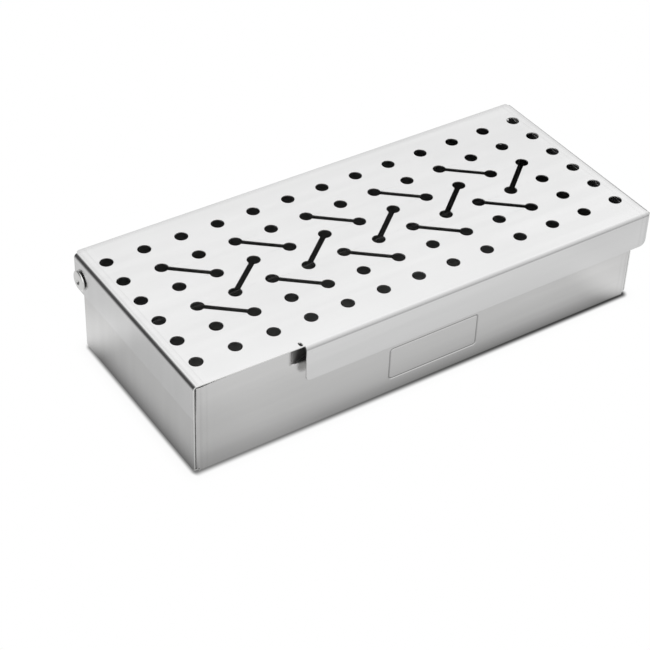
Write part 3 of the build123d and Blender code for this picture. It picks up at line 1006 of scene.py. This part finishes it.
def make_floor():
    """Pale floor. The camera sees it white, with the object's shade close round the tray painted into
    its emission; polished steel mirrors it darker near the tray, a painted shade standing in for
    the light that the box itself takes away."""
    reach = 6.0
    corners = [(-reach, -reach, 0), (reach, -reach, 0), (reach, reach, 0), (-reach, reach, 0)]
    mesh = bpy.data.meshes.new("floor")
    mesh.from_pydata(corners, [], [(0, 1, 2, 3)])
    floor = bpy.data.objects.new("floor", mesh)
    bpy.context.scene.collection.objects.link(floor)
    material = bpy.data.materials.new("pale_floor")
    material.use_nodes = True
    nodes = material.node_tree.nodes
    nodes.remove(nodes["Principled BSDF"])
    path = add(nodes, "ShaderNodeLightPath").outputs

    # Place on the floor, and distance from the tray's footprint
    place = add(nodes, "ShaderNodeTexCoord").outputs["Object"]
    centered = combine_vectors(nodes, "SUBTRACT", place, (TRAY_X, TRAY_Y, 0))
    folded = combine_vectors(nodes, "ABSOLUTE", centered)
    beyond = combine_vectors(nodes, "SUBTRACT", folded, (FLOOR_X, FLOOR_Y, 0))
    away = combine_vectors(nodes, "LENGTH", combine_vectors(nodes, "MAXIMUM", beyond, (0, 0, 0)))
    along, back, _ = add(nodes, "ShaderNodeSeparateXYZ", {0: place}).outputs
    left, right = tray_low.x, tray_high.x

    def beside_left(before, past, at_left, elsewhere):
        """One value beside the left wall and another past it, changing over a narrow strip."""
        return ramp(nodes, along, left - before, left + past, at_left, elsewhere)

    def fading(reach, depth):
        """Depth times exp(-distance from the footprint / reach)."""
        return product(nodes, combine(nodes, "EXPONENT", combine(nodes, "DIVIDE", away, -reach)), depth)

    # Shade that the camera sees
    shade_start = ramp(nodes, along, left, right, *SHADE_START)
    shade_level = ramp(nodes, along, left, right, *SHADE_LEVEL)
    shade = ramp(nodes, away, shade_start, beside_left(MM, MM, *SHADE_END), shade_level, 1.0)
    seen = add(nodes, "ShaderNodeEmission", {"Color": WHITE, "Strength": shade})

    # Level that steel mirrors
    near_depth = ramp(nodes, along, left, POOL_DEPTH_END, *POOL_DEPTH)
    near_depth = combine(nodes, "ADD", near_depth, beside_left(2 * MM, MM, POOL_LEFT, 0.0))
    near = ramp(nodes, away, POOL_START, beside_left(2 * MM, MM, *POOL_REACH), near_depth, 0.0)
    pool = combine(nodes, "ADD", near, ramp(nodes, away, *POOL_FAR_REACH, POOL_FAR, 0.0))
    shifted = combine(nodes, "SUBTRACT", along, fading(POOL_RIGHT_FADE, POOL_RIGHT_SHIFT))
    before_right = ramp(nodes, shifted, *POOL_RIGHT, 1.0, 0.0)
    kept = product(nodes, before_right, ramp(nodes, back, *POOL_REAR, 1.0, 0.0))
    pool = product(nodes, pool, kept)
    glow = product(nodes, combine(nodes, "SUBTRACT", 1.0, kept), ramp(nodes, away, *GLOW_REACH, 1.0, 0.0))
    glow = product(nodes, glow, beside_left(MM, 0.0, *GLOW))
    depth = ramp(nodes, along, left, CONTACT_END, *CONTACT)
    depth = combine(nodes, "ADD", depth, beside_left(MM, 2 * MM, CONTACT_LEFT, 0.0))
    dark = combine(nodes, "ADD", pool, fading(CONTACT_FADE, depth))
    level = product(
        nodes,
        combine(nodes, "SUBTRACT", combine(nodes, "ADD", glow, FLOOR_LEVEL), dark),
        ramp(nodes, along, left + LEFT_SPAN[0], left + LEFT_SPAN[1], LEFT_LEVEL, 1.0),
        ramp(nodes, along, right + RIGHT_SPAN[0], right + RIGHT_SPAN[1], 1.0, RIGHT_LEVEL),
        ramp(nodes, away, *FAR_REACH, 1.0, FAR_LEVEL),
    )
    level = combine(nodes, "MAXIMUM", level, LEAST_LEVEL)

    matt = add(nodes, "ShaderNodeBsdfDiffuse", {"Color": (0.8, 0.8, 0.8, 1.0)})
    mirrored = add(nodes, "ShaderNodeEmission", {"Color": WHITE, "Strength": level})
    others_see = mix_shaders(nodes, path["Is Glossy Ray"], matt, mirrored)
    share = ramp(nodes, away, 0.0, CAMERA_SHARE_REACH, CAMERA_SHARE, 1.0)
    share = product(nodes, share, path["Is Camera Ray"])
    feed(nodes["Material Output"], {"Surface": mix_shaders(nodes, share, others_see, seen).outputs[0]})
    mesh.materials.append(material)


# Studio: how bright it is at the horizon and from a height up
SKY_LEVELS = (0.9, 1.15)
SKY_HEIGHT = 0.5

# Soft dark flag behind the left end, which the folds mirror: the way to it, the cosines where it
# begins and is full, the heights where it is full and ends, and how much light it stops
FLAG_WAY = (-0.70, 0.72, 0.0)
FLAG_EDGE = (0.58, 0.90)
FLAG_TOP = (0.68, 0.92)
FLAG_DEPTH = 0.88

# Dimmer patches of the studio, in the same terms but without heights
PATCHES = (
    ((0.48, 0.75, 0.455), (0.962, 0.994), 0.14),
    ((0.25, 0.78, 0.57), (0.980, 0.999), 0.12),
    ((0.60, 0.66, 0.45), (0.988, 0.996), 0.10),
)


def make_world():
    """Studio light from all round, brighter from above, with one soft dark flag behind the left
    end and three dimmer patches. The camera sees white."""
    world = bpy.data.worlds.new("studio")
    world.use_nodes = True
    nodes = world.node_tree.nodes
    way = add(nodes, "ShaderNodeTexCoord").outputs["Generated"]
    height = add(nodes, "ShaderNodeSeparateXYZ", {0: way}).outputs["Z"]
    heading = combine_vectors(nodes, "NORMALIZE", combine_vectors(nodes, "MULTIPLY", way, (1, 1, 0)))

    facing = combine_vectors(nodes, "DOT_PRODUCT", heading, FLAG_WAY)
    stopped = ramp(nodes, facing, *FLAG_EDGE, 0.0, FLAG_DEPTH)
    dimmed = [product(nodes, stopped, ramp(nodes, height, *FLAG_TOP, 1.0, 0.0))]
    for direction, edge, depth in PATCHES:
        facing = combine_vectors(nodes, "DOT_PRODUCT", way, direction)
        dimmed.append(ramp(nodes, facing, *edge, 0.0, depth))
    tone = ramp(nodes, height, 0.0, SKY_HEIGHT, *SKY_LEVELS, "LINEAR")
    tone = product(nodes, tone, *(combine(nodes, "SUBTRACT", 1.0, amount) for amount in dimmed))

    light = nodes["Background"]
    feed(light, {"Color": WHITE, "Strength": tone})
    white = add(nodes, "ShaderNodeBackground", {"Color": WHITE, "Strength": 1.0})
    path = add(nodes, "ShaderNodeLightPath")
    surface = mix_shaders(nodes, path.outputs["Is Camera Ray"], light, white)
    feed(nodes["World Output"], {"Surface": surface.outputs[0]})
    bpy.context.scene.world = world


def make_camera():
    """Camera at the photo's place, turned by its azimuth, fall and roll."""
    data = bpy.data.cameras.new("camera")
    data.sensor_width = SENSOR_MM
    data.lens = FOCAL_PIXELS / PHOTO_PIXELS * SENSOR_MM
    data.shift_x = 0.5 - PRINCIPAL_PIXEL[0] / PHOTO_PIXELS
    data.shift_y = PRINCIPAL_PIXEL[1] / PHOTO_PIXELS - 0.5
    data.clip_start = 0.01
    data.clip_end = 50.0
    camera = bpy.data.objects.new("camera", data)
    turn = Matrix.Rotation(math.radians(-CAMERA_AZIMUTH), 4, "Z")
    fall = Matrix.Rotation(math.radians(90 - CAMERA_FALL), 4, "X")
    roll = Matrix.Rotation(math.radians(CAMERA_ROLL), 4, "Z")
    camera.matrix_world = Matrix.Translation(CAMERA_PLACE) @ turn @ fall @ roll
    bpy.context.scene.collection.objects.link(camera)
    bpy.context.scene.camera = camera


make_camera()
make_world()
make_floor()

# Steels: colour, roughness, depth of the grain, and tone of the folds' painted shade
lid_steel = steel(
    "lid_steel", (0.80, 0.80, 0.80), 0.24, SHEET_GRAIN, 0.50, shade_and_sheen=(LID_FOLD_X, 1.0), rear=lid_high.y
)
tray_steel = steel("tray_steel", (0.76, 0.757, 0.753), 0.253, SHEET_GRAIN, 0.70, shade_and_sheen=(WALL_X, 0.7))
# Darker steel inside is painted shade; brighter steel behind the lip is painted light
shaded_inside_steel = steel("shaded_inside_steel", (0.34, 0.34, 0.337), 0.46, SHEET_GRAIN, 0.70)
lit_steel_behind_lip = steel("lit_steel_behind_lip", (0.95, 0.95, 0.94), 0.50, SHEET_GRAIN, 1.0)
cut_steel = steel("cut_steel", (0.72, 0.72, 0.71), 0.42, 0.01 * MM, 1.0)
rivet_steel = steel("rivet_steel", (0.84, 0.84, 0.83), 0.13, 0.001 * MM, 0.70, on_blank=False)
washer_steel = steel("washer_steel", (0.30, 0.30, 0.295), 0.40, 0.002 * MM, 1.0, on_blank=False)

# Lid
lid = sheet_piece(
    "folded_lid", *lid_blank(), lid_surface, lid_painted_shade, lid_inner_finish, lid_shaded_rim,
    (lid_steel, cut_steel, shaded_inside_steel, lit_steel_behind_lip),
)
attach(lid, "lid")
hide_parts("lid")

# Tray
tray_net, tray_faces = tray_blank()
tray = sheet_piece(
    "folded_tray", tray_net * (-1, 1), tray_faces[:, ::-1], tray_outside, tray_outside_painted_shade,
    tray_inner_finish, tray_shaded_rim, (tray_steel, cut_steel, shaded_inside_steel),
)
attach(tray, "tray")
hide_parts("tray")

# Rivets
for end_name, end_side in (("left", -1), ("right", 1)):
    low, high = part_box(f"{end_name}_hinge_rivet")
    grip = high.x - low.x - HEAD_HEIGHT - SHOP_LENGTH
    seat = low.x + HEAD_HEIGHT if end_side < 0 else high.x - HEAD_HEIGHT
    rivet = turned_piece(f"{end_name}_rivet", rivet_profile(grip), seat, end_side, rivet_steel)
    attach(rivet, "tray")
    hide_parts(f"{end_name}_hinge_rivet")

# Washers and spacer
for node in ("left_hinge_washer", "right_hinge_washer", "right_hinge_spacer"):
    low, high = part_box(node)
    profile = ring_profile(high.x - low.x, (high.z - low.z) / 2)
    piece = turned_piece(node.replace("hinge_", ""), profile, low.x, 1, washer_steel)
    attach(piece, "tray")
    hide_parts(node)

view = bpy.context.scene.view_settings
view.view_transform = "Standard"
